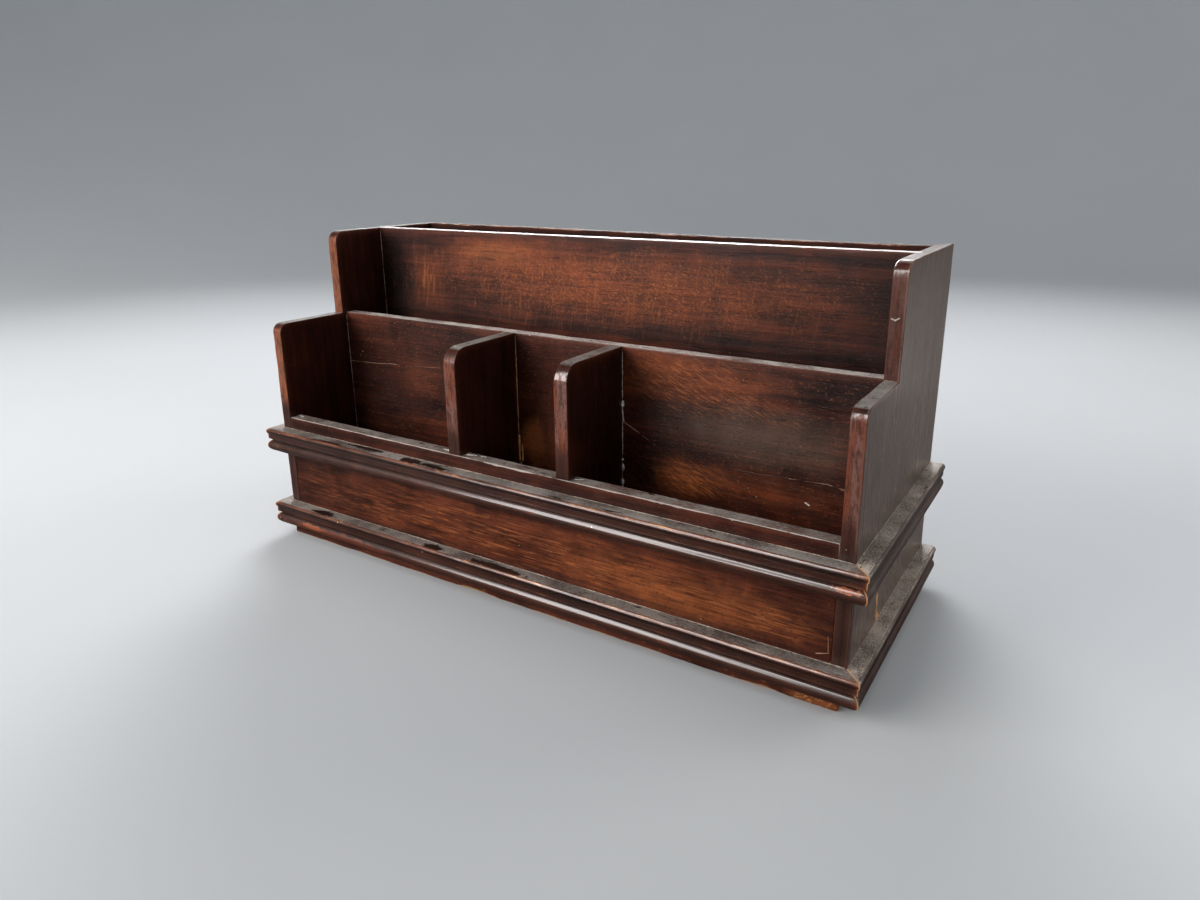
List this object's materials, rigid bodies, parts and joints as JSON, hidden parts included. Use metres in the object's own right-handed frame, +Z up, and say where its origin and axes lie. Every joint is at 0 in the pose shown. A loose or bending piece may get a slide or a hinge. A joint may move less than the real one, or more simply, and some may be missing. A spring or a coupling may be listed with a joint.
{
  "type": "desk organizer",
  "caption": "Wooden desk organizer: stepped letter rack with upright boards and a divided front tier on a box base with moulded edges.",
  "frame": {"origin": "middle of the bounding box at the underside of the base board", "axes": "+X to the right along the long side, +Y to the back board, +Z up; the low front board faces -Y"},
  "size_m": [0.428, 0.171, 0.214],
  "materials": {
    "board_wood": "dark stained, worn satin polish",
    "moulding_wood": "dark stained, worn satin polish with dusty tops",
    "base_wood": "dark stained, dull",
    "nail_steel": "dull, darkened"
  },
  "bodies": {
    "root": {"base_board": "base_wood", "front_board": "board_wood", "left_end_board": "board_wood", "right_end_board": "board_wood", "middle_board": "board_wood", "tall_board": "board_wood", "back_board": "board_wood", "left_divider": "board_wood", "right_divider": "board_wood", "upper_moulding_front": "moulding_wood", "upper_moulding_left": "moulding_wood", "upper_moulding_right": "moulding_wood", "lower_moulding_front": "moulding_wood", "lower_moulding_left": "moulding_wood", "lower_moulding_right": "moulding_wood", "base_nails": "nail_steel", "moulding_pins": "nail_steel"}
  },
  "joints": []
}
